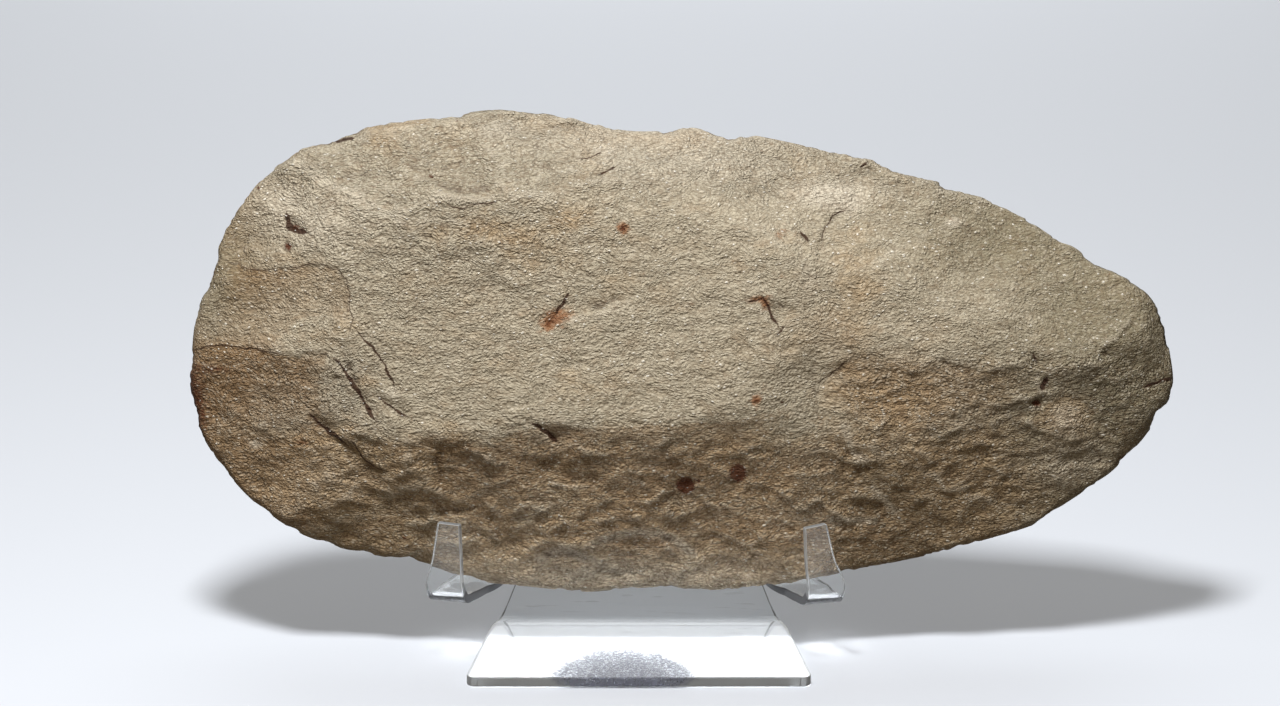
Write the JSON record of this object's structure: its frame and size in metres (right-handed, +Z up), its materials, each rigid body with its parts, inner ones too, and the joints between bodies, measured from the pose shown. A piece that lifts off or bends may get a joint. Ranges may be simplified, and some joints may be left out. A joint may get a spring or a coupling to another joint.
{
  "type": "stone celt",
  "caption": "Flaked stone celt shown on its long edge, leaning back in a clear folded-sheet stand whose hooked arms hold it.",
  "frame": {"origin": "centre of the object's outline, on the surface that the stand's foot rests on", "axes": "+X along the celt's length towards its narrow end, -Y out of its front face, +Z up"},
  "size_m": [0.1724, 0.0466, 0.0943],
  "materials": {
    "stone": "matte",
    "clear_acrylic": "polished"
  },
  "bodies": {
    "root": {"celt": "stone", "display_stand": "clear_acrylic"}
  },
  "joints": []
}
